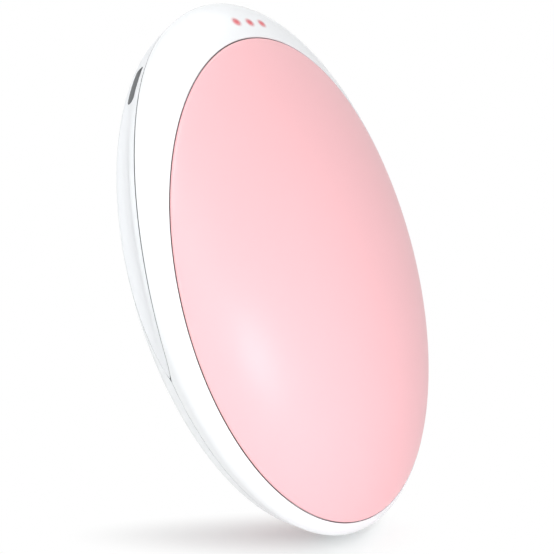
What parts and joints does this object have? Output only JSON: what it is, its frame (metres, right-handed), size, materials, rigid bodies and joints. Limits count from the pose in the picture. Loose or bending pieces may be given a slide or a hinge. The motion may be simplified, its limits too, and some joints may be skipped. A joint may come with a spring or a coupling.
{
  "type": "rechargeable hand warmer",
  "caption": "Palm-sized oval hand warmer: white pebble casing with a pink domed heating panel on each face, a side charging slot, a side power button and red charge lamps.",
  "frame": {"origin": "centre of the pebble, on the parting plane of the two shells", "axes": "+Z along the length towards the lamps, +X across the width towards the power button, +Y through the thickness towards the rear panel (the front panel with the lamps above it faces -Y)"},
  "size_m": [0.07, 0.0284, 0.11],
  "materials": {
    "white_casing": "gloss",
    "pink_panel": "satin",
    "panel_tape": "matt",
    "pale_strip": "satin",
    "button_white": "gloss",
    "black_plastic": "matt",
    "pale_plastic": "satin",
    "board_green": "satin",
    "chip_black": "matt",
    "ferrite_grey": "matt",
    "capacitor_tan": "satin",
    "red_lamp": "gloss",
    "red_light_guide": "gloss",
    "port_steel": "satin",
    "contact_gold": "polished",
    "pouch_foil": "satin",
    "tab_nickel": "satin",
    "wire_red": "satin",
    "wire_white": "satin",
    "frame_grey": "matt",
    "heater_film": "satin",
    "sensor_black": "gloss",
    "foam_grey": "matt",
    "screw_steel": "satin"
  },
  "bodies": {
    "housing": {"front_shell": "white_casing", "rear_shell": "white_casing", "front_panel": "pink_panel", "rear_panel": "pink_panel", "front_panel_tape": "panel_tape", "rear_panel_tape": "panel_tape", "port_side_strip": "pale_strip", "button_side_strip": "pale_strip", "switch_body": "black_plastic", "control_board": "board_green", "controller_chip": "chip_black", "charging_chip": "chip_black", "power_inductor": "ferrite_grey", "board_capacitors": "capacitor_tan", "heater_transistors": "chip_black", "battery_connector": "pale_plastic", "heater_connectors": "pale_plastic", "indicator_led_1": "red_lamp", "indicator_led_2": "red_lamp", "indicator_led_3": "red_lamp", "indicator_lens_1": "red_light_guide", "indicator_lens_2": "red_light_guide", "indicator_lens_3": "red_light_guide", "charge_port_shell": "port_steel", "charge_port_tongue": "black_plastic", "charge_port_contacts": "contact_gold", "battery_cell_front": "pouch_foil", "battery_cell_rear": "pouch_foil", "battery_tabs": "tab_nickel", "battery_protection_board": "board_green", "battery_leads": "wire_red", "inner_frame": "frame_grey", "front_heater": "heater_film", "rear_heater": "heater_film", "front_heater_leads": "wire_white", "rear_heater_leads": "wire_white", "front_thermistor": "sensor_black", "rear_thermistor": "sensor_black", "front_insulation_pad": "foam_grey", "rear_insulation_pad": "foam_grey", "shell_screws": "screw_steel", "board_screws": "screw_steel"},
    "button": {"power_button": "button_white"},
    "plunger": {"switch_plunger": "pale_plastic"}
  },
  "joints": [
    {"name": "button_press", "type": "slide", "parent": "housing", "child": "button", "axis": [-0.9624, 0, -0.2716], "range_m": [0, 0.0004], "stiffness_N_per_m": 400, "springref_m": -0.001},
    {"name": "plunger_press", "type": "slide", "parent": "housing", "child": "plunger", "axis": [-0.9624, 0, -0.2716], "range_m": [0, 0.0005]}
  ],
  "couplings": [
    {"joint": "plunger_press", "follows": "button_press", "ratio": 1}
  ]
}
